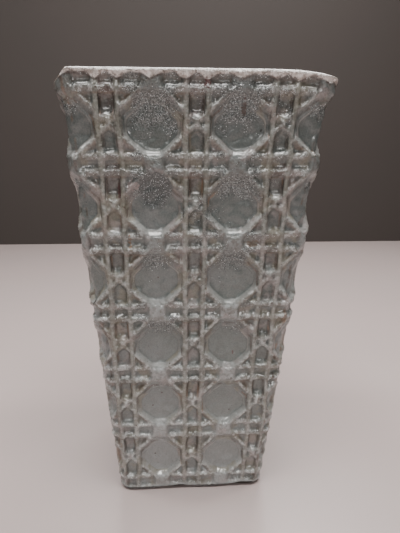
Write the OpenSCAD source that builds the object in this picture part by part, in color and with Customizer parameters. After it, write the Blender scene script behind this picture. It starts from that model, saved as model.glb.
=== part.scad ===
// Tall square planter in thick glazed stoneware, cast in one piece.
// The four leaning walls carry a woven cane relief: upright pairs, level pairs and two sets of
// diagonals that leave octagons between them. The lip is chipped at the front left corner and
// slumped at the front right one, and the lower edge is uneven.

/* [Body] */
// Overall height
pot_h = 500; // [380:1:620]
// Width across the lip
rim_w = 279; // [230:1:340]
// Width across the foot, over the cane
foot_w = 191; // [158:1:232]
// Outside radius of the upright corners
corner_r = 18; // [16:1:28]
// Wall, from the crest of the cane to the inside face
wall = 17; // [14:0.5:24]
// Inside radius of the upright corners
inner_r = 12; // [8:1:16]
// Thickness of the floor
floor_t = 22; // [16:1:32]
// Diameter of the drain hole
drain_d = 25; // [12:1:40]
// How far the foot sits to the left of the lip
lean = 7; // [0:0.5:12]

/* [Cane relief] */
// Octagons up each wall
rows = 6; // [3:1:8]
// Distance between upright pairs at the lip
pitch_lip = 85.5; // [70:0.5:103]
// Plain strip between the outer cane and the corner at the foot
corner_strip = 4.6; // [2:0.1:6]
// Depth of the octagon floors below the crest of the cane
relief = 7.5; // [4:0.5:9]
// Half the distance between the two canes of an upright pair, as a share of the pitch
upright_half = 0.13; // [0.11:0.01:0.14]
// Half the distance between the two canes of a level pair, as a share of a row
level_half = 0.107; // [0.09:0.001:0.12]
// How far a cane slopes away on each side of its crest, as a share of the pitch
cane_slope = 0.075; // [0.06:0.005:0.08]
// Height lost from the top row under the lip
top_row_loss = 3.5; // [0:0.5:8]

/* [Lip] */
// Top of the lip to the middle of the groove under it
lip_h = 9.4; // [7:0.1:14]
// Rounding of the lip's two edges
lip_round = 2.5; // [1.5:0.5:4]
// How far the front right corner of the lip has slumped
slump_drop = 5; // [0:0.5:8]
// How far from that corner the slump reaches
slump_reach = 30; // [20:1:50]

/* [Chip in the front left corner] */
// Length lost along the front of the lip
chip_front = 19; // [12:1:40]
// Length lost along the left side of the lip
chip_side = 60; // [30:1:80]
// Depth lost down the corner
chip_down = 15; // [8:1:25]

/* [Foot] */
// Floor to the middle of the lowest level groove
foot_band = 13.6; // [12:0.1:20]
// Mean gap under the lower edge of the wall
edge_lift = 3; // [2:0.1:4]
// Rise and fall of that edge
edge_wave = 1.8; // [0:0.1:1.9]
// How far the foot ring stands in from the wall
foot_inset = 5; // [3:0.5:9]
// Width of the foot ring
foot_ring = 15; // [10:1:22]
// Depth of the recess inside the foot ring
recess = 4; // [2:0.5:6]

/* [Hidden] */
lip_a = rim_w / 2;
foot_a = foot_w / 2;
// Half the way from corner to corner round a wall, measured along its surface
function half_girth(a, r) = a - r + r * PI / 4;
// Half the width of the body, over the crest of the cane, at height z
function half_w(z) = foot_a + (lip_a - foot_a) * z / pot_h;
// The outer upright cane stands one pitch and its own offset from the middle of the wall
outer_cane = 1 + upright_half;
pitch_foot = (half_girth(foot_a, corner_r) - corner_strip) / outer_cane;
function pitch(z) = pitch_foot + (pitch_lip - pitch_foot) * z / pot_h;
row_h = (pot_h - lip_h - foot_band + top_row_loss) / rows;
// Height of the line that lies v rows below the groove under the lip
function row_z(v) = foot_band + (rows - v) * row_h - max(0, 1 - v) * top_row_loss;

// Mesh lines across half a pitch and down half a row: the crests and feet of the canes, and
// the two points between which a diagonal cane lies free
cane_foot = upright_half + cane_slope - 0.005;
free_u = 0.32;
half_pitch = [0, upright_half, cane_foot, free_u, 0.5];
half_row = [0, level_half, 0.5 - free_u, 0.5 - cane_foot, 0.5];
wall_lines = concat(half_pitch, [for (i = [3:-1:1]) 1 - half_pitch[i]], [1, outer_cane]);
corner_shares = [0.45, 0.75, 1];
row_lines = concat(half_row, [for (i = [3:-1:1]) 1 - half_row[i]]);
fixed = len(wall_lines);
half_n = fixed + len(corner_shares) - 1;
side_n = 2 * half_n;
ring_n = 4 * side_n;

// Way along the surface from the middle of a wall to mesh line i, at height z
function line_s(i, z) =
    i < fixed ? wall_lines[i] * pitch(z) :
    let (inner = outer_cane * pitch(z))
    inner + (half_girth(half_w(z), corner_r) - inner) * corner_shares[i - fixed];

// A point a way s along a rounded square of half width a, set in by depth d
function on_wall(s, a, r, d) =
    let (turn = max(0, abs(s) - (a - r)) / r * 180 / PI)
    let (flat = min(abs(s), a - r))
    [sign(s) * (flat + (r - d) * sin(turn)), -(a - r) - (r - d) * cos(turn)];

// Height of the woven pattern, 0 at an octagon's floor and 1 at a crest
function ridge(d) = d >= cane_slope ? 0 : 0.5 + 0.5 * cos(180 * d / cane_slope);
function cane(u, v) =
    let (du = abs(u - round(u)))
    let (dv = abs(v - round(v)))
    let (upright = ridge(abs(du - upright_half)))
    let (level = 0.9 * ridge(abs(dv - level_half)))
    let (diagonal = 0.85 * ridge(abs(du + dv - 0.5) / sqrt(2)))
    max(upright, level, diagonal);

// Drop of the slumped corner at a point of the lip
function slump(p) =
    let (away = norm([p[0] - lip_a, p[1] + lip_a]))
    slump_drop * exp(-pow(away / slump_reach, 2)) * max(0, min(1, (p[2] - pot_h) / row_h * 2 + 1));

// Places one point of a ring: wall q, turned into place, then leant and slumped
function place(xy, z, q) =
    let (c = [1, 0, -1, 0][q])
    let (s = [0, 1, 0, -1][q])
    let (x = xy[0] * c - xy[1] * s + lean * (z / pot_h - 1))
    let (y = xy[0] * s + xy[1] * c)
    [x, y, z - slump([x, y, z])];

// Mesh line and wall of ring point k
function line_of(k) = (k % side_n) - half_n;
function wall_of(k) = floor(k / side_n);

// A ring on the cane relief, v rows below the groove under the lip
function cane_ring(v) =
    let (z = row_z(v))
    [for (k = [0 : ring_n - 1])
        let (i = line_of(k))
        let (s = sign(i) * line_s(abs(i), z))
        place(on_wall(s, half_w(z), corner_r, relief * (1 - cane(s / pitch(z), v))), z, wall_of(k))];

// A plain ring at height z, set in by d from the crest of the cane, with corners of radius r
function plain_ring(z, d, r) =
    let (share = half_girth(half_w(z) - d, r) / half_girth(half_w(z), corner_r))
    [for (k = [0 : ring_n - 1])
        let (i = line_of(k))
        place(on_wall(sign(i) * line_s(abs(i), z) * share, half_w(z) - d, r, 0), z, wall_of(k))];

// The uneven lower edge of the wall, raised and dropped by two slow waves round the body
function wavy(ring) =
    [for (k = [0 : ring_n - 1])
        let (turn = 360 * k / ring_n)
        ring[k] + [0, 0, edge_wave * (0.8 * sin(8 * turn + 170) + 0.2 * sin(3 * turn + 200))]];

foot_r = corner_r - foot_inset;
recess_d = foot_inset + foot_ring;
recess_r = 8;
lip_top = pot_h - lip_round;

rings = concat(
    [plain_ring(recess, recess_d + 1, recess_r), plain_ring(0, recess_d, recess_r)],
    [plain_ring(0, foot_inset + 1, foot_r)],
    [wavy(plain_ring(edge_lift, foot_inset, foot_r)), wavy(plain_ring(edge_lift, 1, corner_r - 1))],
    [plain_ring(row_z(rows) - level_half * row_h, 0, corner_r)],
    [for (n = [rows - 1 : -1 : 0]) for (i = [len(row_lines) - 1 : -1 : 0]) cane_ring(n + row_lines[i])],
    [plain_ring(pot_h - lip_h / 2, 0, corner_r), plain_ring(lip_top, 0, corner_r)],
    [plain_ring(pot_h, lip_round, corner_r - lip_round), plain_ring(pot_h, wall - lip_round, inner_r)],
    [plain_ring(lip_top, wall, inner_r), plain_ring(floor_t + lip_round, wall, inner_r)],
    [plain_ring(floor_t, wall + lip_round, inner_r - lip_round)]);

// How far out the middle of the line between two points stands from the upright axis
function reach(p, q) = norm([p[0] + q[0], p[1] + q[1]]) / 2;

// Splits the four-sided gap a, b, c, d into two triangles along its outer diagonal, so that the
// edge follows the cane
function split(points, a, b, c, d) =
    reach(points[a], points[c]) >= reach(points[b], points[d])
        ? [[a, b, c], [a, c, d]]
        : [[a, b, d], [b, c, d]];

// The cast body: its rings joined from the recess under the foot, over the lip, to the inside floor
module body() {
    points = [for (ring = rings) for (p = ring) p];
    last = (len(rings) - 1) * ring_n;
    wall_faces = [for (j = [0 : len(rings) - 2]) for (k = [0 : ring_n - 1])
        let (next = (k + 1) % ring_n)
        for (face = split(points, j * ring_n + k, (j + 1) * ring_n + k,
            (j + 1) * ring_n + next, j * ring_n + next)) face];
    faces = concat(
        [[for (k = [0 : ring_n - 1]) k]],
        [[for (k = [ring_n - 1 : -1 : 0]) last + k]],
        wall_faces);
    polyhedron(points = points, faces = faces, convexity = 8);
}

module drain_hole() {
    translate([-lean, 0, -1])
        cylinder(h = floor_t + 2, d = drain_d, $fn = 64);
}

// What broke away from the lip: everything outside a flat break through three points
module chip() {
    front_end = [chip_front - lip_a, -lip_a, pot_h];
    side_end = [-lip_a, chip_side - lip_a, pot_h];
    corner = -lip_a + corner_r * (1 - sqrt(0.5));
    low_end = [corner, corner, pot_h - chip_down];
    middle = (front_end + side_end + low_end) / 3;
    grow = 1.6;
    base = [for (p = [front_end, side_end, low_end]) middle + (p - middle) * grow];
    tip = middle + [-1, -1, 1.5] * (chip_front + chip_down);
    polyhedron(points = concat(base, [tip]), faces = [[0, 1, 2], [0, 3, 1], [1, 3, 2], [2, 3, 0]]);
}

module pot() {
    color([0.52, 0.55, 0.52])
        difference() {
            body();
            drain_hole();
            chip();
        }
}

pot();
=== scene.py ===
import math

import bpy
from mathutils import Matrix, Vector


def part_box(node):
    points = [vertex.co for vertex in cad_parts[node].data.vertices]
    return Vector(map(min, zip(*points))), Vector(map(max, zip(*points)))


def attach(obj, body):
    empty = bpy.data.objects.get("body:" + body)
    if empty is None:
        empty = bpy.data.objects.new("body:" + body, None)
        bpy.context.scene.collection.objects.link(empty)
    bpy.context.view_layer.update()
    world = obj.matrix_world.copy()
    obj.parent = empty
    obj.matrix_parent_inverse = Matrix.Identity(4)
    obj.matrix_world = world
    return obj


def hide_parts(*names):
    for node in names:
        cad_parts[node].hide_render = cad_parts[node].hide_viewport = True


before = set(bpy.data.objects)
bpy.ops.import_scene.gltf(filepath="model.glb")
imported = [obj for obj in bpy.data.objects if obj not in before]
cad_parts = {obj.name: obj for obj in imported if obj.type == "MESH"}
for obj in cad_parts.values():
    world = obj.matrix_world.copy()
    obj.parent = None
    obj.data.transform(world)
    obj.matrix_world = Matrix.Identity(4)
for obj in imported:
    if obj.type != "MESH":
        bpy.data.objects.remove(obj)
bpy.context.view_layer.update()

# ---------------------------------------------------------------------------------------------
# Viewing place
# The pot stands on the floor, and the viewer crouches close in front of it: the lens is a little
# below the height of the lip, and looks slightly down and to the right.
# ---------------------------------------------------------------------------------------------
look_down = math.radians(13.46)
look_right = math.radians(3.08)

viewer = bpy.data.cameras.new("viewer")
viewer.lens = 27.0
viewer.clip_start = 0.01
viewer_object = bpy.data.objects.new("viewer", viewer)
viewer_object.location = (-0.0195, -0.5395, 0.4069)
viewer_object.rotation_euler = (math.pi / 2 - look_down, 0, -look_right)
bpy.context.collection.objects.link(viewer_object)
bpy.context.scene.camera = viewer_object


# ---------------------------------------------------------------------------------------------
# Floor and backdrop
# A pale polished concrete floor that runs back into a plain dark wall. Neither is part of the
# pot: they give it a ground to stand on and something dull to reflect.
# ---------------------------------------------------------------------------------------------
def plain_paint(name, colour, roughness):
    """A dull painted surface with a faint cloudy variation."""
    paint = bpy.data.materials.new(name)
    paint.use_nodes = True
    nodes, links = paint.node_tree.nodes, paint.node_tree.links
    surface = nodes["Principled BSDF"]
    surface.inputs["Roughness"].default_value = roughness
    place = nodes.new("ShaderNodeTexCoord")
    cloud = nodes.new("ShaderNodeTexNoise")
    cloud.inputs["Scale"].default_value = 2.5
    tint = nodes.new("ShaderNodeMix")
    tint.data_type = "RGBA"
    tint.inputs["A"].default_value = (*colour, 1)
    tint.inputs["B"].default_value = (*(c * 0.93 for c in colour), 1)
    links.new(place.outputs["Object"], cloud.inputs["Vector"])
    links.new(cloud.outputs["Fac"], tint.inputs["Factor"])
    links.new(tint.outputs["Result"], surface.inputs["Base Color"])
    return paint


def stage_sheet(name, corners, paint):
    mesh = bpy.data.meshes.new(name)
    mesh.from_pydata(corners, [], [(0, 1, 2, 3)])
    mesh.materials.append(paint)
    part = bpy.data.objects.new(name, mesh)
    bpy.context.collection.objects.link(part)


reach = 7.0
wall_y = 1.75
wall_h = 3.0
stage_sheet(
    "floor",
    [(-reach, -reach, 0), (reach, -reach, 0), (reach, reach, 0), (-reach, reach, 0)],
    plain_paint("pale_floor", (0.42, 0.347, 0.334), 0.35),
)
stage_sheet(
    "backdrop",
    [(-reach, wall_y, 0), (reach, wall_y, 0), (reach, wall_y, wall_h), (-reach, wall_y, wall_h)],
    plain_paint("dull_wall", (0.042, 0.033, 0.029), 0.8),
)


# ---------------------------------------------------------------------------------------------
# Light
# Long soft panels hang over the pot and far out in front of it, so that the crest of every cane
# carries a bright line and the hollows under the canes stay dim. One more lights its back.
# ---------------------------------------------------------------------------------------------
lamp_white = (1.0, 0.985, 0.965)


def soft_panel(name, place, aim, size, power):
    lamp = bpy.data.lights.new(name, "AREA")
    lamp.shape = "RECTANGLE"
    lamp.size, lamp.size_y = size
    lamp.energy = power
    lamp.color = lamp_white
    holder = bpy.data.objects.new(name, lamp)
    holder.location = place
    holder.rotation_euler = (Vector(aim) - Vector(place)).to_track_quat("-Z", "Y").to_euler()
    bpy.context.collection.objects.link(holder)


soft_panel("panel_front", (-0.4, -4.2, 2.5), (0, 0, 0.3), (2.6, 0.14), 50)
soft_panel("panel_low", (0.3, -4.2, 1.7), (0, 0, 0.3), (2.2, 0.14), 26)
soft_panel("panel_over", (0.0, -0.50, 2.3), (0, -0.1, 0.25), (1.6, 0.7), 72)
soft_panel("panel_left", (-1.2, 0.1, 2.2), (0, 0, 0.2), (0.3, 1.6), 24)
soft_panel("panel_right", (1.2, 0.2, 2.2), (0, 0, 0.2), (0.3, 1.6), 24)
soft_panel("panel_back", (0.2, 1.55, 2.1), (0, 0, 0.25), (1.8, 0.5), 46)

surroundings = bpy.data.worlds.new("surroundings")
surroundings.use_nodes = True
dim_room = surroundings.node_tree.nodes["Background"]
dim_room.inputs["Color"].default_value = (0.36, 0.35, 0.345, 1)
dim_room.inputs["Strength"].default_value = 0.09
bpy.context.scene.world = surroundings

# ---------------------------------------------------------------------------------------------
# The pot
# One hollow casting of coarse stoneware, pressed in a mould with a woven cane pattern and dipped
# in a thick glaze. Walls, lip, floor and foot are one body: one upright profile is swept from the
# drain hole over the lip and back down inside, round a square with rounded corners.
# ---------------------------------------------------------------------------------------------
pot_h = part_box("pot")[1].z
skin_allowance = 0.0009  # thickest lump of the uneven skin, kept inside the mould's crest line
lip_half = 0.1395 - skin_allowance
foot_half = 0.0955 - skin_allowance
corner_r = 0.018
wall_t = 0.017
inner_r = 0.012
floor_top = 0.022
recess_top = 0.004  # the ring on which the pot stands is this much lower than the underside
ring_set_in = 0.005  # from the wall's crest line to the outside of that ring
ring_w = 0.015
hole_r = 0.0125
lean = 0.007  # the foot stands this far to the left of the lip
row_count = 6
pitch_lip = 0.0855
pitch_foot = 0.0771
lip_groove = 0.0094  # top of the lip to the middle of the groove under it
foot_groove = 0.0136  # floor to the middle of the lowest level groove
top_row_loss = 0.0035  # the top row is shorter than the others
relief = 0.0075
nick_long, nick_deep, nick_side = 0.019, 0.015, 0.060  # the lip's broken corner
slump_deep = 0.005  # the lip's sunken corner
flake_deep, break_grain = 0.0036, 0.0024  # roughness of the broken face
swell_deep, waist_deep = 0.0024, 0.0013  # slow lumps of the walls, and their waist under the lip
hem_ripple, hem_drift, hem_nibble = 0.0020, 0.0005, 0.0055  # the uneven lower edge
wander = 0.085  # how far the pattern strays, in pitches and rows

# Places in the cane pattern, in pitches from the middle of a dimple or of a pair of uprights
strip_mid = 0.122
pan_mid = 0.555
pan_half_w = 0.285
pan_half_h = 0.280
pan_slant = 0.368


def tools_for(tree):
    """Returns helpers that add a sum, a smooth step, a cloud of noise and a vector to a tree."""

    def feed(socket, value):
        if isinstance(value, bpy.types.NodeSocket):
            tree.links.new(value, socket)
        else:
            socket.default_value = value

    def calc(operation, *values):
        node = tree.nodes.new("ShaderNodeMath")
        node.operation = operation
        for socket, value in zip(node.inputs, values):
            feed(socket, value)
        return node.outputs[0]

    def step(value, start, end, first=0.0, last=1.0, kind="SMOOTHSTEP"):
        node = tree.nodes.new("ShaderNodeMapRange")
        node.interpolation_type = kind
        for socket, given in zip(node.inputs, (value, start, end, first, last)):
            feed(socket, given)
        return node.outputs[0]

    def cloud(place, scale, detail=2.0, shift=0.0):
        node = tree.nodes.new("ShaderNodeTexNoise")
        node.noise_dimensions = "4D"
        feed(node.inputs["Vector"], place)
        feed(node.inputs["W"], shift)
        feed(node.inputs["Scale"], scale)
        feed(node.inputs["Detail"], detail)
        return calc("SUBTRACT", node.outputs[0], 0.5)

    def point(x, y, z):
        node = tree.nodes.new("ShaderNodeCombineXYZ")
        for socket, value in zip(node.inputs, (x, y, z)):
            feed(socket, value)
        return node.outputs[0]

    return feed, calc, step, cloud, point


def weave(calc, step, u, v):
    """The cane pattern at u pitches from the middle of a wall and v rows under the lip.

    Every value repeats once a pitch and once a row, and most run from 0 to 1."""

    def dome(off, half):
        rise = calc("SUBTRACT", 1.0, calc("POWER", calc("DIVIDE", off, half), 2.0))
        return calc("POWER", calc("MAXIMUM", rise, 0.0), 0.6)

    def away(value, middle):
        return calc("ABSOLUTE", calc("SUBTRACT", value, middle))

    across_slant = 0.7071
    du = away(u, calc("ROUND", u))
    fall = calc("FRACT", v)
    dv = away(v, calc("ROUND", v))
    side = calc("SUBTRACT", 0.5, du)
    # The pan is the flat eight-sided floor of a dimple, a little below the middle of its row
    pan_y = away(fall, pan_mid)
    past_slant = calc("SUBTRACT", calc("ADD", side, pan_y), pan_slant)
    past_slant = calc("MULTIPLY", past_slant, across_slant)
    past_side, past_end = calc("SUBTRACT", side, pan_half_w), calc("SUBTRACT", pan_y, pan_half_h)
    pan = calc("SMOOTH_MAX", calc("MAXIMUM", past_side, past_end), past_slant, 0.05)
    slant_sum = calc("ADD", calc("ADD", du, dv), step(fall, 0.45, 0.60, 0.0, 0.022))
    slant_off = calc("MULTIPLY", away(slant_sum, 0.5), across_slant)
    knot_off = calc("ADD", du, calc("MULTIPLY", away(fall, 0.475), 0.75))
    below = step(fall, 0.240, 0.100)
    above = step(calc("SUBTRACT", 1.0, fall), 0.170, 0.065)
    clear_of_neck = step(side, 0.120, 0.170, 0.15, 1.0)
    level_mid = step(fall, 0.3, 0.7, 0.104, 0.090)
    level_half = step(v, 0.45, 0.30, 0.067, 0.084)
    return {
        "du": du,
        "dv": dv,
        "fall": fall,
        "side": side,
        "pan": pan,
        "strip": step(away(du, strip_mid), 0.056, 0.030),
        "level": calc("MULTIPLY", dome(away(dv, level_mid), level_half), clear_of_neck),
        "slant": step(slant_off, 0.070, 0.010),
        "neck": calc("MULTIPLY", step(side, 0.175, 0.085), calc("MAXIMUM", below, above)),
        "knot": step(knot_off, 0.140, 0.010),
    }


def profile_stations():
    """The upright profile: rows so far, height, set-in from the crest line, corner radius."""
    slope = (lip_half - foot_half) / pot_h
    edge_r = 0.0035
    ring_edge_r = 0.0015
    hem_r = 0.0018
    hem_z = 0.0046
    under_hem_z = 0.0028
    hole_edge_r = 0.001

    def set_in(z, half):
        return foot_half + slope * z - half

    def arc(z, half, radius, corner, start, end, steps=4):
        for i in range(steps + 1):
            turn = math.radians(start + (end - start) * i / steps)
            zz = z + radius * math.sin(turn)
            yield zz, set_in(zz, half + radius * math.cos(turn)), corner

    ring_out = foot_half - ring_set_in + skin_allowance
    ring_in = ring_out - ring_w
    lip_out = lip_half - edge_r
    lip_in = lip_half - wall_t + edge_r
    floor_half = foot_half + slope * floor_top - wall_t
    stations = [(0.0, recess_top, set_in(recess_top, hole_r), hole_r)]

    def add(rows, points):
        points = list(points)
        for z, inset, corner in points:
            stations.append((stations[-1][0] + rows / len(points), z, inset, corner))

    add(3, [(recess_top, set_in(recess_top, ring_in - 0.002), 0.008)])
    add(3, arc(ring_edge_r, ring_in + ring_edge_r, ring_edge_r, 0.009, 180, 270, 2))
    add(3, arc(ring_edge_r, ring_out - ring_edge_r, ring_edge_r, 0.013, 270, 360, 2))
    add(2, [(under_hem_z, set_in(under_hem_z, ring_out + 0.0006), 0.014)])
    add(4, arc(hem_z, foot_half - hem_r, hem_r, 0.017, 260, 360, 3))
    skin_start = len(stations) - 1
    add(190, [(pot_h - edge_r - 0.0005, 0.0, corner_r)])
    skin_end = len(stations) - 1
    add(5, arc(pot_h - edge_r, lip_out, edge_r, corner_r, 0, 90))
    add(5, arc(pot_h - edge_r, lip_in, edge_r, inner_r, 90, 180))
    add(5, [(pot_h - 0.030, wall_t, inner_r)])
    add(6, [(floor_top + edge_r, wall_t, inner_r)])
    add(3, arc(floor_top + edge_r, floor_half - edge_r, edge_r, inner_r, 0, -90, 2))
    add(3, arc(floor_top - hole_edge_r, hole_r + hole_edge_r, hole_edge_r, hole_r, 90, 180, 2))
    add(2, [(recess_top, set_in(recess_top, hole_r), hole_r)])
    return stations, skin_start, skin_end


def casting_tree(glaze):
    """Geometry Nodes tree that sweeps the profile and presses the cane pattern into its skin."""
    tree = bpy.data.node_groups.new("cane_pot_casting", "GeometryNodeTree")
    sizes = {
        "Height": pot_h,
        "Half width at the lip": lip_half,
        "Half width at the foot": foot_half,
        "Lean": lean,
        "Rows": float(row_count),
        "Pitch at the lip": pitch_lip,
        "Pitch at the foot": pitch_foot,
        "Lip to first groove": lip_groove,
        "Floor to last groove": foot_groove,
        "Top row loss": top_row_loss,
        "Relief": relief,
        "Columns round": 420.0,
        "Seed": 4.0,
    }
    for name, value in sizes.items():
        socket = tree.interface.new_socket(name=name, in_out="INPUT", socket_type="NodeSocketFloat")
        socket.default_value = value
    tree.interface.new_socket(name="Geometry", in_out="OUTPUT", socket_type="NodeSocketGeometry")
    given = tree.nodes.new("NodeGroupInput").outputs
    seed = given["Seed"]
    feed, calc, step, cloud, point = tools_for(tree)
    stations, skin_start, skin_end = profile_stations()
    total = stations[-1][0]

    def along_rows(start, end, first=0.0, last=1.0):
        return step(up_way, start, end, first, last, "LINEAR")

    grid = tree.nodes.new("GeometryNodeMeshGrid")
    feed(grid.inputs["Size X"], 1.0)
    feed(grid.inputs["Size Y"], 1.0)
    feed(grid.inputs["Vertices X"], calc("ADD", given["Columns round"], 1.0))
    feed(grid.inputs["Vertices Y"], round(total) + 1)
    spot = tree.nodes.new("GeometryNodeInputPosition")
    parts = tree.nodes.new("ShaderNodeSeparateXYZ")
    feed(parts.inputs[0], spot.outputs[0])
    round_way = calc("MULTIPLY", calc("ADD", parts.outputs[0], 0.5), 4.0)
    up_way = calc("MULTIPLY", calc("ADD", parts.outputs[1], 0.5), total)

    # Height, set-in and corner radius follow the stations of the profile one after another
    def follow(column):
        value = stations[0][column]
        for before, after in zip(stations, stations[1:]):
            rise = after[column] - before[column]
            if abs(rise) > 1e-9:
                value = calc("ADD", value, along_rows(before[0], after[0], 0.0, rise))
        return value

    z = follow(1)
    corner = follow(3)
    share = calc("DIVIDE", z, given["Height"])
    widening = calc("SUBTRACT", given["Half width at the lip"], given["Half width at the foot"])
    crest = calc("MULTIPLY_ADD", widening, share, given["Half width at the foot"])
    half = calc("SUBTRACT", crest, follow(2))
    skin_from, skin_to = stations[skin_start][0], stations[skin_end][0]
    on_skin = calc(
        "MULTIPLY",
        along_rows(skin_from - 0.5, skin_from + 1.5),
        along_rows(skin_to + 2.5, skin_to + 0.5),
    )

    # The way along a wall from its middle, and the pattern's own coordinates there
    wall = calc("FLOOR", calc("MINIMUM", round_way, 3.9999))
    along = calc("SUBTRACT", calc("MULTIPLY", calc("SUBTRACT", round_way, wall), 2.0), 1.0)
    girth = calc("MULTIPLY_ADD", corner, math.pi / 4, calc("SUBTRACT", half, corner))
    s = calc("MULTIPLY", along, girth)
    pitch_gain = calc("SUBTRACT", given["Pitch at the lip"], given["Pitch at the foot"])
    pitch = calc("MULTIPLY_ADD", pitch_gain, share, given["Pitch at the foot"])
    groove_top = calc("SUBTRACT", given["Height"], given["Lip to first groove"])
    run = calc("SUBTRACT", groove_top, given["Floor to last groove"])
    row_h = calc("DIVIDE", calc("ADD", run, given["Top row loss"]), given["Rows"])
    first_row = calc("SUBTRACT", row_h, given["Top row loss"])
    second_top = calc("SUBTRACT", groove_top, first_row)
    in_first = calc("MINIMUM", calc("DIVIDE", calc("SUBTRACT", groove_top, z), first_row), 1.0)
    after_first = calc("MAXIMUM", calc("DIVIDE", calc("SUBTRACT", second_top, z), row_h), 0.0)
    v = calc("ADD", in_first, after_first)

    # A point of the leaning wall, sunk by a depth: straight first, then round the corner
    straight = calc("SUBTRACT", half, corner)
    bend = calc("MAXIMUM", calc("SUBTRACT", calc("ABSOLUTE", s), straight), 0.0)
    turn = calc("DIVIDE", bend, corner)
    flat = calc("MINIMUM", calc("ABSOLUTE", s), straight)
    heading = calc("MULTIPLY", wall, math.pi / 2)

    def on_wall(depth):
        arm = calc("SUBTRACT", corner, depth)
        across = calc("MULTIPLY", calc("SIGN", s), calc("MULTIPLY_ADD", arm, calc("SINE", turn), flat))
        out = calc("MULTIPLY_ADD", arm, calc("COSINE", turn), straight)
        x = calc("ADD", calc("MULTIPLY", across, calc("COSINE", heading)),
                 calc("MULTIPLY", out, calc("SINE", heading)))
        y = calc("SUBTRACT", calc("MULTIPLY", across, calc("SINE", heading)),
                 calc("MULTIPLY", out, calc("COSINE", heading)))
        return calc("MULTIPLY_ADD", calc("SUBTRACT", share, 1.0), given["Lean"], x), y

    plain_x, plain_y = on_wall(0.0)
    plain = point(plain_x, plain_y, z)
    plain_low = point(plain_x, plain_y, 0.0)
    u = calc("MULTIPLY_ADD", cloud(plain, 20.0, 3.0, seed), wander, calc("DIVIDE", s, pitch))
    v = calc("MULTIPLY_ADD", cloud(plain, 22.0, 3.0, calc("ADD", seed, 7.0)), wander, v)
    canes = weave(calc, step, u, v)
    corner_off = calc("SUBTRACT", girth, calc("ABSOLUTE", s))

    # The lip's band has a ragged lower edge, and the foot's band is plain
    ragged = calc("MULTIPLY", cloud(plain_low, 75.0, 4.0, seed), 0.085)
    pillar = calc("ABSOLUTE", calc("SUBTRACT", canes["du"], strip_mid))
    pillar = calc("MULTIPLY", step(pillar, 0.105, 0.010, 0, 1, "LINEAR"), 0.060)
    drips = calc("MAXIMUM", pillar, step(canes["side"], 0.120, 0.010, 0.0, 0.055, "LINEAR"))
    lip_off = calc("SUBTRACT", calc("SUBTRACT", calc("ADD", v, 0.066), ragged), drips)
    band = step(lip_off, 0.012, -0.010)
    foot_band = step(v, row_count + 0.075, row_count + 0.107)
    under_lip = step(v, 0.25, 0.09)

    # Woven height: 0 on a pan, 0.3 on the ground between the canes, 1 on the crest of a cane
    ground = step(canes["pan"], 0.0, 0.035, 0.0, 0.30)
    window = step(canes["du"], 0.095, 0.075, 0.0, 0.16)
    ground = calc("SUBTRACT", ground, window)
    rib = step(corner_off, 0.0110, 0.0050, 0.0, 0.16)
    seat = calc("MULTIPLY_ADD", under_lip, -0.14, 0.44)
    groove = calc("MULTIPLY", step(canes["dv"], 0.105, 0.055), seat)
    height = calc("MAXIMUM", calc("MAXIMUM", ground, rib), groove)
    for part, top, blend in (
        (canes["slant"], 0.93, 0.14),
        (canes["level"], 0.97, 0.10),
        (canes["neck"], 0.94, 0.10),
        (canes["knot"], 0.97, 0.14),
        (canes["strip"], 0.88, 0.08),
        (band, 1.00, 0.05),
        (foot_band, 1.00, 0.06),
    ):
        height = calc("SMOOTH_MAX", height, calc("MULTIPLY", part, top), blend)
    height = calc("MINIMUM", height, 1.02)

    # Lumps and dimples of hand-pressed clay under a thick coat
    swell = calc("MULTIPLY", cloud(plain, 22.0, 2.0, calc("ADD", seed, 3.0)), swell_deep)
    waist = calc("MULTIPLY", step(z, 0.480, 0.435), step(z, 0.330, 0.400))
    swell = calc("MULTIPLY_ADD", waist, waist_deep, swell)
    edge_lumps = step(corner_off, 0.016, 0.006, 0.0052, 0.0085)
    edge_lumps = calc("MULTIPLY", edge_lumps, calc("MULTIPLY_ADD", canes["strip"], -0.45, 1.0))
    lumps = calc("MULTIPLY", cloud(plain, 110.0, 3.0, calc("ADD", seed, 5.0)), edge_lumps)
    sink = calc("MULTIPLY", calc("SUBTRACT", 1.0, height), given["Relief"])
    depth = calc("MAXIMUM", calc("ADD", sink, calc("ADD", swell, lumps)), -0.0006)
    x, y = on_wall(calc("MULTIPLY", on_skin, depth))

    # The lower edge rides up and down, and comes lowest near the front left corner
    travel = calc("MULTIPLY", round_way, math.pi / 2)
    ripple = calc("SINE", calc("MULTIPLY_ADD", travel, 8.0, math.radians(170)))
    slow = calc("SINE", calc("MULTIPLY_ADD", travel, 3.0, math.radians(200)))
    wave = calc("MULTIPLY_ADD", ripple, hem_ripple, 0.0004)
    wave = calc("ADD", wave, calc("MULTIPLY", slow, hem_drift))
    nibble = calc("MULTIPLY", cloud(plain_low, 75.0, 4.0, calc("ADD", seed, 9.0)), hem_nibble)
    near_foot = calc("MULTIPLY", step(z, 0.022, 0.004), along_rows(skin_from - 5.0, skin_from - 3.0))
    z_edge = calc("MULTIPLY_ADD", near_foot, calc("ADD", wave, nibble), z)

    # The front right corner of the lip has slumped
    slump_x = calc("POWER", calc("SUBTRACT", x, given["Half width at the lip"]), 2.0)
    slump_y = calc("POWER", calc("ADD", y, given["Half width at the lip"]), 2.0)
    slump_off = calc("ADD", slump_x, slump_y)
    slump = calc("MULTIPLY", calc("EXPONENT", calc("DIVIDE", slump_off, -0.0009)), slump_deep)
    slump = calc("MULTIPLY", slump, step(z, pot_h - 0.040, pot_h, 0, 1, "LINEAR"))

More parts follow.
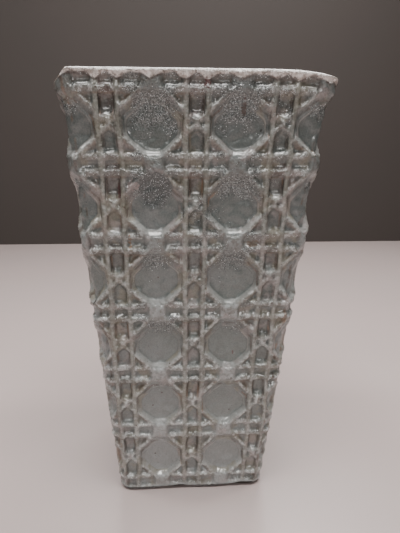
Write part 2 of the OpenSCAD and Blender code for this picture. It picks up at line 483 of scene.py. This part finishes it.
    # The front left corner of the lip is broken away along a rough slanting face
    front_end = Vector((nick_long - lip_half, -lip_half, pot_h))
    side_end = Vector((-lip_half, nick_side - lip_half, pot_h))
    inward = corner_r * (1 - math.sqrt(0.5)) - lip_half
    low_end = Vector((inward, inward, pot_h - nick_deep))
    facing = (side_end - low_end).cross(front_end - low_end).normalized()
    facing = facing if facing.z > 0 else -facing
    swept = point(x, y, calc("SUBTRACT", z_edge, slump))
    reach_out = tree.nodes.new("ShaderNodeVectorMath")
    reach_out.operation = "DOT_PRODUCT"
    feed(reach_out.inputs[0], swept)
    feed(reach_out.inputs[1], facing)
    grain = calc("MULTIPLY", cloud(swept, 130.0, 3.0, seed), break_grain)
    flakes = calc("MULTIPLY", cloud(swept, 55.0, 1.0, calc("ADD", seed, 2.0)), flake_deep)
    beyond = calc("SUBTRACT", reach_out.outputs["Value"], facing.dot(low_end))
    beyond = calc("ADD", beyond, calc("ADD", calc("SUBTRACT", grain, 0.0009), flakes))
    knock = tree.nodes.new("ShaderNodeVectorMath")
    knock.operation = "MULTIPLY_ADD"
    lost = calc("MAXIMUM", beyond, 0.0)
    feed(knock.inputs[0], point(lost, lost, lost))
    feed(knock.inputs[1], -facing)
    feed(knock.inputs[2], swept)

    # What the glaze needs to know is kept at each point while the grid is still flat
    geometry = grid.outputs["Mesh"]

    def then(kind, **values):
        nonlocal geometry
        node = tree.nodes.new(kind)
        feed(node.inputs["Geometry"], geometry)
        for name, value in values.items():
            feed(node.inputs[name], value)
        geometry = node.outputs["Geometry"]
        return node

    def remember(name, value):
        node = then("GeometryNodeStoreNamedAttribute", Name=name)
        node.data_type = "FLOAT_VECTOR"
        node.domain = "POINT"
        feed(node.inputs["Value"], value)

    inside = along_rows(skin_to + 6.0, skin_to + 8.0)
    under = along_rows(skin_from - 2.0, skin_from - 4.0)
    remember("made_place", knock.outputs[0])
    off_corner = calc("MULTIPLY", corner_off, 10.0)
    off_lip, past_break = calc("MULTIPLY", lip_off, 10.0), calc("MULTIPLY", beyond, 100.0)
    remember("cane", point(calc("ABSOLUTE", u), v, off_corner))
    remember("state", point(on_skin, inside, under))
    remember("lip", point(off_lip, past_break, height))
    recall = tree.nodes.new("GeometryNodeInputNamedAttribute")
    recall.data_type = "FLOAT_VECTOR"
    feed(recall.inputs["Name"], "made_place")

    # The grid is bent into shape, closed along its edges and coated
    then("GeometryNodeSetPosition", Position=recall.outputs["Attribute"])
    then("GeometryNodeRemoveAttribute", Name="made_place")
    then("GeometryNodeMergeByDistance", Distance=0.00002)
    then("GeometryNodeSetShadeSmooth")
    then("GeometryNodeRealizeInstances")
    then("GeometryNodeSetMaterial", Material=glaze)
    feed(tree.nodes.new("NodeGroupOutput").inputs["Geometry"], geometry)
    return tree


def effect(name, takes, gives):
    """Starts a shared shader group with named sockets, and returns it with its ends and helpers."""
    group = bpy.data.node_groups.new(name, "ShaderNodeTree")
    for label, kind in takes.items():
        group.interface.new_socket(name=label, in_out="INPUT", socket_type=kind)
    for label, kind in gives.items():
        group.interface.new_socket(name=label, in_out="OUTPUT", socket_type=kind)
    given = group.nodes.new("NodeGroupInput").outputs
    asked = group.nodes.new("NodeGroupOutput").inputs
    return group, given, asked, tools_for(group)


def cane_marks():
    """Masks of the woven pattern, worked out again at every shaded point."""
    names = ("Pan", "Bead", "Outline", "Slope", "Brown", "Ribbon", "Slot", "Window", "Low",
             "Crown", "Neck", "Level", "Corner")
    gives = {name: "NodeSocketFloat" for name in names}
    group, given, asked, tools = effect("cane_marks", {"Cane": "NodeSocketVector"}, gives)
    feed, calc, step = tools[:3]
    parts = group.nodes.new("ShaderNodeSeparateXYZ")
    feed(parts.inputs[0], given["Cane"])
    u, v, corner_off = parts.outputs
    canes = weave(calc, step, u, v)
    du, dv, fall = canes["du"], canes["dv"], canes["fall"]
    side, pan = canes["side"], canes["pan"]

    def line(value, middle, half):
        return step(calc("ABSOLUTE", calc("SUBTRACT", value, middle)), half, half * 0.35)

    def between(value, one_end, other_end):
        return calc("MULTIPLY", step(value, *one_end), step(value, *other_end))

    # A pan, the bead round it, the dark line round it that is partly rust and partly painted shade in
    # the crease, and the slope under it that is painted as lit
    feed(asked["Pan"], step(pan, 0.006, -0.006))
    feed(asked["Bead"], calc("MULTIPLY", line(pan, 0.013, 0.012), step(fall, 0.70, 0.62)))
    rim_line = calc("MULTIPLY", line(pan, 0.055, 0.022), between(fall, (0.50, 0.42), (0.18, 0.22)))
    edge_line = calc("MULTIPLY", line(du, 0.166, 0.014), between(fall, (0.38, 0.44), (0.72, 0.66)))
    feed(asked["Outline"], calc("MAXIMUM", rim_line, edge_line))
    bevel = between(pan, (0.002, 0.016), (0.070, 0.048))
    feed(asked["Slope"], calc("MULTIPLY", bevel, step(fall, 0.56, 0.66)))

    # Brown flanks of the slanting canes, and a brown hem under the level ones
    clear = calc("MULTIPLY", step(du, 0.160, 0.175), step(dv, 0.150, 0.180))
    flank = calc("MULTIPLY", line(calc("ADD", du, dv), 0.425, 0.060), clear)
    hem = calc("MULTIPLY", line(fall, 0.168, 0.020), step(side, 0.10, 0.16))
    feed(asked["Brown"], calc("MAXIMUM", flank, hem))

    # Flat upright ribbons, the slots along them, and the windows between the two of a pair
    feed(asked["Ribbon"], step(calc("ABSOLUTE", calc("SUBTRACT", du, strip_mid)), 0.036, 0.024))
    tall = between(fall, (0.16, 0.19), (0.44, 0.40))
    short = between(fall, (0.62, 0.66), (0.84, 0.80))
    upright = calc("MAXIMUM", tall, calc("MULTIPLY", short, 0.6))
    feed(asked["Slot"], calc("MULTIPLY", line(du, 0.078, 0.018), upright))
    window = calc("MULTIPLY", step(du, 0.090, 0.075), step(canes["knot"], 0.6, 0.2))
    feed(asked["Window"], calc("MULTIPLY", window, step(fall, 0.62, 0.50, 0.45, 1.0)))
    feed(asked["Low"], step(fall, 0.40, 0.55))

    # The crown of a dimple, with the ends of the level canes on both sides of it
    crown = calc("MULTIPLY", step(fall, 0.56, 0.28), step(side, 0.29, 0.11))
    crown = calc("MULTIPLY", crown, step(fall, 0.10, 0.24, 0.20, 1.0))
    cheek = calc("MULTIPLY", between(side, (0.34, 0.22), (0.06, 0.14)), canes["level"])
    feed(asked["Crown"], calc("MAXIMUM", crown, calc("MULTIPLY", cheek, 0.75)))
    feed(asked["Neck"], canes["neck"])
    feed(asked["Level"], step(canes["level"], 0.5, 0.9))
    feed(asked["Corner"], line(corner_off, 0.080, 0.028))
    return group


def speckle():
    """Scattered specks: a share of small cells, each with a soft round spot in it."""
    number, vector = "NodeSocketFloat", "NodeSocketVector"
    takes = {"Place": vector, "Scale": number, "Share": number, "Reach": number}
    group, given, asked, tools = effect("speckle", takes, {"Specks": number})
    feed, calc, step = tools[:3]
    cells = group.nodes.new("ShaderNodeTexVoronoi")
    feed(cells.inputs["Vector"], given["Place"])
    feed(cells.inputs["Scale"], given["Scale"])
    spot = step(cells.outputs["Distance"], given["Reach"], calc("MULTIPLY", given["Reach"], 0.45))
    luck = group.nodes.new("ShaderNodeSeparateColor")
    feed(luck.inputs[0], cells.outputs["Color"])
    chosen = calc("LESS_THAN", luck.outputs[0], given["Share"])
    feed(asked["Specks"], calc("MULTIPLY", spot, chosen))
    return group


def bare_clay():
    """Unglazed stoneware: sandy, matt and pricked with darker grog."""
    takes = {"Place": "NodeSocketVector"}
    gives = {"Color": "NodeSocketColor", "Height": "NodeSocketFloat"}
    group, given, asked, tools = effect("bare_clay", takes, gives)
    feed, calc, step, cloud = tools[:4]
    tint = group.nodes.new("ShaderNodeMix")
    tint.data_type = "RGBA"
    feed(tint.inputs["Factor"], step(cloud(given["Place"], 60.0, 5.0), -0.14, 0.14))
    feed(tint.inputs["A"], (0.20, 0.145, 0.105, 1))
    feed(tint.inputs["B"], (0.33, 0.255, 0.195, 1))
    feed(asked["Color"], tint.outputs["Result"])
    sand = calc("MULTIPLY", cloud(given["Place"], 420.0, 4.0), 0.0009)
    feed(asked["Height"], calc("MULTIPLY_ADD", cloud(given["Place"], 120.0, 3.0), 0.0016, sand))
    return group


def fired_glaze():
    """Thick grey-green glaze that breaks brown on edges, laid on tone over tone."""
    glaze = bpy.data.materials.new("celadon_glaze")
    glaze.use_nodes = True
    tree = glaze.node_tree
    feed, calc, step, cloud, point = tools_for(tree)
    surface = tree.nodes["Principled BSDF"]
    place = tree.nodes.new("ShaderNodeTexCoord").outputs["Object"]

    def kept(name):
        node = tree.nodes.new("ShaderNodeAttribute")
        node.attribute_name = name
        return node.outputs["Vector"]

    def apart(vector):
        node = tree.nodes.new("ShaderNodeSeparateXYZ")
        feed(node.inputs[0], vector)
        return node.outputs

    def group(made, **values):
        node = tree.nodes.new("ShaderNodeGroup")
        node.node_tree = made
        for name, value in values.items():
            feed(node.inputs[name], value)
        return node.outputs

    def mix(below, over, amount):
        node = tree.nodes.new("ShaderNodeMix")
        node.data_type = "RGBA"
        feed(node.inputs["Factor"], amount)
        for socket, tone in zip((node.inputs["A"], node.inputs["B"]), (below, over)):
            feed(socket, tone if isinstance(tone, bpy.types.NodeSocket) else (*tone, 1))
        return node.outputs["Result"]

    def times(first, *others):
        for other in others:
            first = calc("MULTIPLY", first, other)
        return first

    def graded(mask, gain, least):
        return calc("MULTIPLY_ADD", mask, gain, least)

    def without(mask):
        return calc("SUBTRACT", 1.0, mask)

    def lay(tone, mask, amount=1.0):
        """Lays one more tone over the coat, on the outside of the walls only."""
        nonlocal colour
        colour = mix(colour, tone, times(mask, amount, skin))

    cane = kept("cane")
    corner_off = apart(cane)[2]
    skin_share, inside, under = apart(kept("state"))
    lip_off, past_break, height = apart(kept("lip"))
    x, y, z = apart(place)
    skin = step(skin_share, 0.4, 0.9)
    marks = group(cane_marks(), Cane=cane)
    cells = speckle()

    def specks(spot, scale, share, reach=0.45):
        return group(cells, Place=spot, Scale=scale, Share=share, Reach=reach)["Specks"]

    # The coat: green and grey clouds, darker towards the lip and paler towards the foot
    sea_green, sea_grey = (0.132, 0.155, 0.145), (0.186, 0.202, 0.202)
    deep_green, milk_grey = (0.080, 0.092, 0.086), (0.31, 0.325, 0.322)
    clouds = cloud(place, 14.0, 3.0, 1.0)
    upper = step(z, 0.17, 0.46)
    lower = step(z, 0.20, 0.02)
    colour = mix(sea_green, sea_grey, step(clouds, -0.14, 0.14))
    colour = mix(colour, deep_green, times(upper, 0.70))
    colour = mix(colour, milk_grey, times(lower, 0.62))

    # Clouds of three sizes that most of the tones are broken up by
    streak = step(cloud(place, 45.0, 4.0, 2.0), -0.12, 0.16)
    burn = step(cloud(place, 55.0, 4.0, 3.0), -0.12, 0.14)
    mottle = step(cloud(place, 230.0, 4.0, 9.0), -0.10, 0.12)

    # Thin on the crests: pale canes that break brown, and browner flat ribbons. The crests' pale tone
    # is partly a painted highlight
    crest_white_and_highlight = mix((0.63, 0.64, 0.625), (0.47, 0.468, 0.448), upper)
    crest_brown, flank_brown = (0.152, 0.112, 0.076), (0.155, 0.128, 0.096)
    painted_light_slope_white = (0.37, 0.37, 0.355)
    ribbon_olive = mix((0.112, 0.114, 0.090), (0.228, 0.230, 0.198), streak)
    neck_grey = mix((0.285, 0.297, 0.298), (0.072, 0.093, 0.095), upper)
    crest = step(height, 0.55, 0.95)
    flank = times(step(height, 0.30, 0.55), step(height, 0.92, 0.70))
    lay(crest_white_and_highlight, crest, graded(mottle, 0.60, 0.17))
    lay(crest_brown, crest, times(without(mottle), graded(burn, 0.45, 0.20)))
    lay(flank_brown, flank, times(burn, 0.40))
    lay(ribbon_olive, marks["Ribbon"], graded(burn, 0.40, 0.35))
    lay(neck_grey, marks["Neck"], graded(mottle, 0.30, 0.44))
    # Painted light, partly thin glaze: the upward-facing bevels under the pans are painted pale as if
    # lit from above
    lay(painted_light_slope_white, marks["Slope"], graded(clouds, 0.8, 0.60))

    # Thick in the hollows of the ground, brown where it has drawn away from an edge, and darkened in
    # the hollows as painted shade
    wine = mix((0.064, 0.034, 0.028), (0.130, 0.112, 0.094), mottle)
    moss = mix((0.046, 0.048, 0.038), (0.135, 0.138, 0.118), mottle)
    window_glaze_and_shade = mix(wine, moss, calc("MAXIMUM", marks["Low"], graded(upper, -0.9, 0.9)))
    rusting = step(cloud(place, 42.0, 4.0, 12.0), 0.03, 0.13)
    rust_and_crease_shade = mix((0.075, 0.052, 0.038), (0.215, 0.125, 0.072), rusting)
    hem_brown, tan = (0.15, 0.105, 0.072), (0.230, 0.200, 0.138)
    blush, bead_white = (0.36, 0.29, 0.28), (0.38, 0.365, 0.345)
    off_pan = without(marks["Pan"])
    tanned = times(step(cloud(place, 38.0, 4.0, 16.0), 0.02, 0.10), off_pan, without(marks["Neck"]))
    blushing = times(step(cloud(place, 46.0, 3.0, 21.0), 0.05, 0.13), off_pan)
    patchy_line = step(cloud(place, 75.0, 4.0, 14.0), -0.06, 0.08)
    # Painted shade over the glaze's own wine and moss tones: the windows are darkened, most in the
    # upper window of a row under the level canes
    lay(window_glaze_and_shade, marks["Window"], graded(burn, 0.45, 0.38))
    lay(hem_brown, marks["Brown"], graded(burn, 0.65, 0.10))
    lay(tan, tanned, graded(crest, -0.25, 0.55))
    lay(blush, blushing, 0.35)
    # Painted shade in part: the dark lines along the pans' upper edges and beside the ribbons, and the
    # slots, stand for shade in those creases; on the corners it is rust
    lay(rust_and_crease_shade, marks["Outline"], times(patchy_line, 0.72))
    lay(rust_and_crease_shade, marks["Slot"], graded(burn, 0.45, 0.35))
    lay(bead_white, marks["Bead"], times(streak, 0.5))
    lay(rust_and_crease_shade, marks["Corner"], times(patchy_line, 0.70))

    # Painted shade under the lip's pale band, brown-tinted: dark arches in the hollows, and a darker
    # line right under the band's edge
    arch_shade_brown, band_shadow_brown = (0.10, 0.078, 0.060), (0.060, 0.038, 0.030)
    below_band = times(step(lip_off, 0.0, 0.4), step(lip_off, 1.5, 0.9))
    band_shadow_line = times(step(lip_off, 0.0, 0.10), step(lip_off, 0.42, 0.22))
    lay(arch_shade_brown, times(below_band, step(height, 0.75, 0.35), graded(mottle, -0.55, 0.75)))
    lay(band_shadow_brown, band_shadow_line, graded(mottle, -0.5, 0.90))

    # Where the specks crowd: on the crowns, on the top row's pans, and less at the corners
    high = step(z, 0.04, 0.45)
    crowd = times(marks["Crown"], graded(high, 0.30, 0.04))
    crowd = calc("ADD", crowd, graded(high, 0.12, times(cloud(place, 18.0, 3.0, 5.0), 0.7)))
    crowd = calc("SUBTRACT", crowd, step(corner_off, 0.42, 0.28, 0.0, 0.22))
    crowd = calc("ADD", crowd, times(marks["Pan"], step(z, 0.425, 0.450), 0.12))
    busy = step(graded(cloud(place, 95.0, 3.0, 13.0), 0.50, crowd), 0.12, 0.36)
    front = step(y, -0.075, -0.090)

    def patch_at(middle, half_size, broken_up, scale):
        """A ragged round patch on the front wall, by its place across and its height."""
        across, along = (
            calc("POWER", calc("DIVIDE", calc("SUBTRACT", way, centre), half), 2.0)
            for way, centre, half in zip((x, z), middle, half_size))
        off = graded(cloud(place, scale, 3.0, 19.0), broken_up, calc("ADD", across, along))
        return times(step(off, 1.0, 0.50), front)

    # One dark pool of them lies over the left dimple of the second row
    pool = patch_at((-0.0430, 0.3880), (0.0190, 0.0220), 2.2, 90.0)
    busy = calc("MAXIMUM", busy, times(pool, 0.9))
    slate, ink = (0.061, 0.071, 0.070), (0.038, 0.046, 0.046)
    lay(slate, busy, 0.60)
    lay(ink, pool, 0.84)

    # The specks: grit everywhere, dark pricks, white glints that are painted highlights on the crowns
    # and level crests, and a few deep pits
    prick_black, painted_glint_white = (0.040, 0.045, 0.045), (0.87, 0.93, 0.95)
    pit_brown = (0.060, 0.036, 0.025)
    grain = step(cloud(place, 640.0, 1.0, 15.0), -0.10, 0.10)
    grit = mix((0.046, 0.052, 0.050), (0.31, 0.325, 0.315), grain)
    shifted = point(calc("ADD", x, 0.37), y, z)
    flashes = times(marks["Level"], mottle, step(z, 0.465, 0.485, 0.58, 0.95))
    painted_glint_share = times(calc("MAXIMUM", times(busy, 0.29), flashes), without(marks["Ribbon"]))
    lay(grit, times(calc("MAXIMUM", busy, 0.20), graded(pool, -0.55, 1.0)), 0.50)
    lay(prick_black, specks(place, 640.0, graded(busy, 0.50, 0.02)), 0.80)
    lay(painted_glint_white, specks(shifted, 900.0, painted_glint_share), graded(crest, 0.20, 0.70))
    lay(pit_brown, specks(shifted, 95.0, 0.16, 0.14), 0.85)

    # Single marks of this one pot on its front wall: middle, half size, tone and raggedness
    for middle, half_size, tone, broken_up in (
        ((0.0092, 0.4880), (0.0034, 0.0072), (0.105, 0.046, 0.046), 5.0),
        ((0.0458, 0.4655), (0.0030, 0.0085), (0.045, 0.022, 0.013), 5.0),
        ((0.0636, 0.4460), (0.0016, 0.0016), (0.016, 0.013, 0.011), 2.0),
        ((-0.0706, 0.3336), (0.0018, 0.0085), (0.200, 0.115, 0.060), 5.0),
        ((0.0586, 0.3310), (0.0085, 0.0038), (0.150, 0.105, 0.070), 4.0),
        ((-0.0790, 0.3880), (0.0020, 0.0075), (0.090, 0.036, 0.034), 4.0),
        ((-0.0647, 0.3920), (0.0055, 0.0060), (0.300, 0.250, 0.240), 5.0),
        ((0.0425, 0.1985), (0.0012, 0.0030), (0.100, 0.045, 0.040), 3.0),
    ):
        mark = patch_at(middle, half_size, broken_up, 380.0)
        colour = mix(colour, tone, times(mark, 0.85))

    # The lip's pale band: worn white, with dirt in its pits. Its front is painted paler and its top
    # darker to even out the light on them, and it carries small painted glints
    wear = calc("MAXIMUM", times(streak, 0.7), mottle)
    lip_front_painted_bright = mix((0.40, 0.34, 0.30), (0.92, 0.86, 0.82), wear)
    lip_top_painted_dim = mix((0.24, 0.20, 0.175), (0.56, 0.515, 0.48), wear)
    lip_dirt, lip_painted_glint = (0.095, 0.066, 0.050), (0.95, 0.92, 0.90)
    crumbs = times(step(cloud(place, 210.0, 3.0, 17.0), 0.02, 0.09),
                   step(lip_off, -0.40, -0.05, 0.15, 1.0))
    lip_tone = mix(lip_front_painted_bright, lip_top_painted_dim, step(skin_share, 0.75, 0.25))
    lip_tone = mix(lip_tone, lip_dirt, times(crumbs, 0.75))
    lip_tone = mix(lip_tone, lip_painted_glint, specks(place, 620.0, times(mottle, 0.45)))
    band = step(lip_off, 0.15, -0.10)
    colour = mix(colour, lip_tone, times(band, without(under)))

    # Inside the coat thins out and stops; the foot and the break are bare
    inside_buff = (0.17, 0.15, 0.125)
    clay = group(bare_clay(), Place=place)
    run_down = calc("ADD", z, times(cloud(place, 22.0, 3.0, 8.0), 0.05))
    unglazed_inside = times(inside, step(run_down, 0.40, 0.385))
    broken = step(past_break, 0.0, 0.05)
    bare = calc("MAXIMUM", calc("MAXIMUM", unglazed_inside, under), broken)
    colour = mix(colour, inside_buff, times(inside, 0.7))
    colour = mix(colour, clay["Color"], bare)

    # Painted shade: the gap between the wall's lower edge and the foot ring is painted black for the
    # shadow that lies in it
    gap_shade_black = (0.010, 0.008, 0.007)
    foot_off = calc("MAXIMUM", calc("ABSOLUTE", calc("ADD", x, lean)), calc("ABSOLUTE", y))
    gap_shade = times(step(z, 0.0056, 0.0040), step(z, 0.0002, 0.0012))
    gap_shade = times(gap_shade, step(foot_off, foot_half - 0.0070, foot_half - 0.0048))
    colour = mix(colour, gap_shade_black, times(gap_shade, 0.96))

    # Fine relief in metres, for what is smaller than the casting's own facets
    calm = calc("ADD", step(height, 0.05, 0.45, 0.30, 1.0), times(band, 0.5))
    peel = times(cloud(place, 210.0, 3.0, 4.0), calm, 0.0026)
    pimple = times(cloud(place, 560.0, 2.0, 6.0), 0.0008)
    fine = calc("ADD", peel, times(pimple, calc("ADD", busy, graded(crest, 0.9, 0.4))))
    for name, rise in (("Bead", 0.0004), ("Outline", -0.0006), ("Slot", -0.0016), ("Ribbon", 0.0004)):
        fine = graded(times(marks[name], skin), rise, fine)
    fine = calc("ADD", fine, times(bare, clay["Height"]))
    bump = tree.nodes.new("ShaderNodeBump")
    bump.inputs["Distance"].default_value = 1.0
    feed(bump.inputs["Height"], fine)

    # Glossy where it is glazed, matt where it is bare
    feed(surface.inputs["Base Color"], colour)
    feed(surface.inputs["Roughness"], step(bare, 0.0, 1.0, 0.33, 0.92))
    feed(surface.inputs["Coat Weight"], without(bare))
    surface.inputs["Coat Roughness"].default_value = 0.07
    feed(surface.inputs["Normal"], bump.outputs["Normal"])
    return glaze


blank = bpy.data.objects.new("cane_pot_blank", bpy.data.meshes.new("cane_pot_blank"))
bpy.context.collection.objects.link(blank)
casting = blank.modifiers.new("casting", "NODES")
casting.node_group = casting_tree(fired_glaze())
made = bpy.data.meshes.new_from_object(blank.evaluated_get(bpy.context.evaluated_depsgraph_get()))
made.name = "cane_pot"
bpy.data.objects.remove(blank)
pot = bpy.data.objects.new("cane_pot", made)
bpy.context.collection.objects.link(pot)
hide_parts("pot")
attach(pot, "root")
